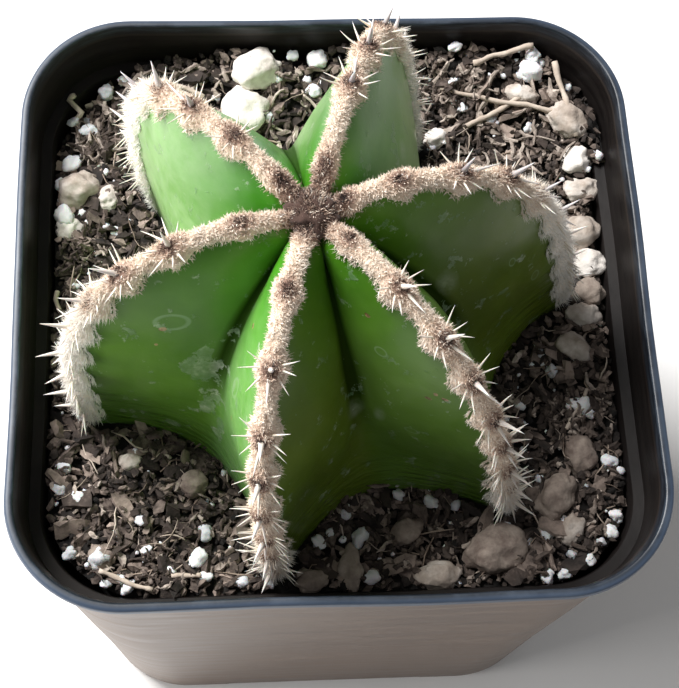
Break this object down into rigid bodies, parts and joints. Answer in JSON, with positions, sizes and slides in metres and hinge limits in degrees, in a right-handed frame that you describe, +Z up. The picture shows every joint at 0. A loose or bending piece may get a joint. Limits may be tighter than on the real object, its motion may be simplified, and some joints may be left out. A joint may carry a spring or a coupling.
{
  "type": "potted fence post cactus",
  "caption": "Young ribbed mexican fence post cactus with woolly, spiny crests, growing in a square plastic nursery pot filled with gritty bark mix.",
  "frame": {"origin": "middle of the pot's underside, at the height of its four foot pads", "axes": "+Z up, out of the pot; +X and +Y square to the pot's walls, with the front wall facing -Y"},
  "size_m": [0.0888, 0.0888, 0.1277],
  "materials": {
    "moulded_plastic": "thin black polypropylene with a soft sheen, dusty taupe in the light",
    "bark_mix": "rough dark bark and coir with pale perlite and pumice",
    "green_skin": "waxy smooth green skin",
    "felted_wool": "cream felt with brown centres and pale grey spines"
  },
  "bodies": {
    "root": {"pot": "moulded_plastic", "potting_mix": "bark_mix", "cactus_stem": "green_skin", "areole_wool": "felted_wool"}
  },
  "joints": []
}
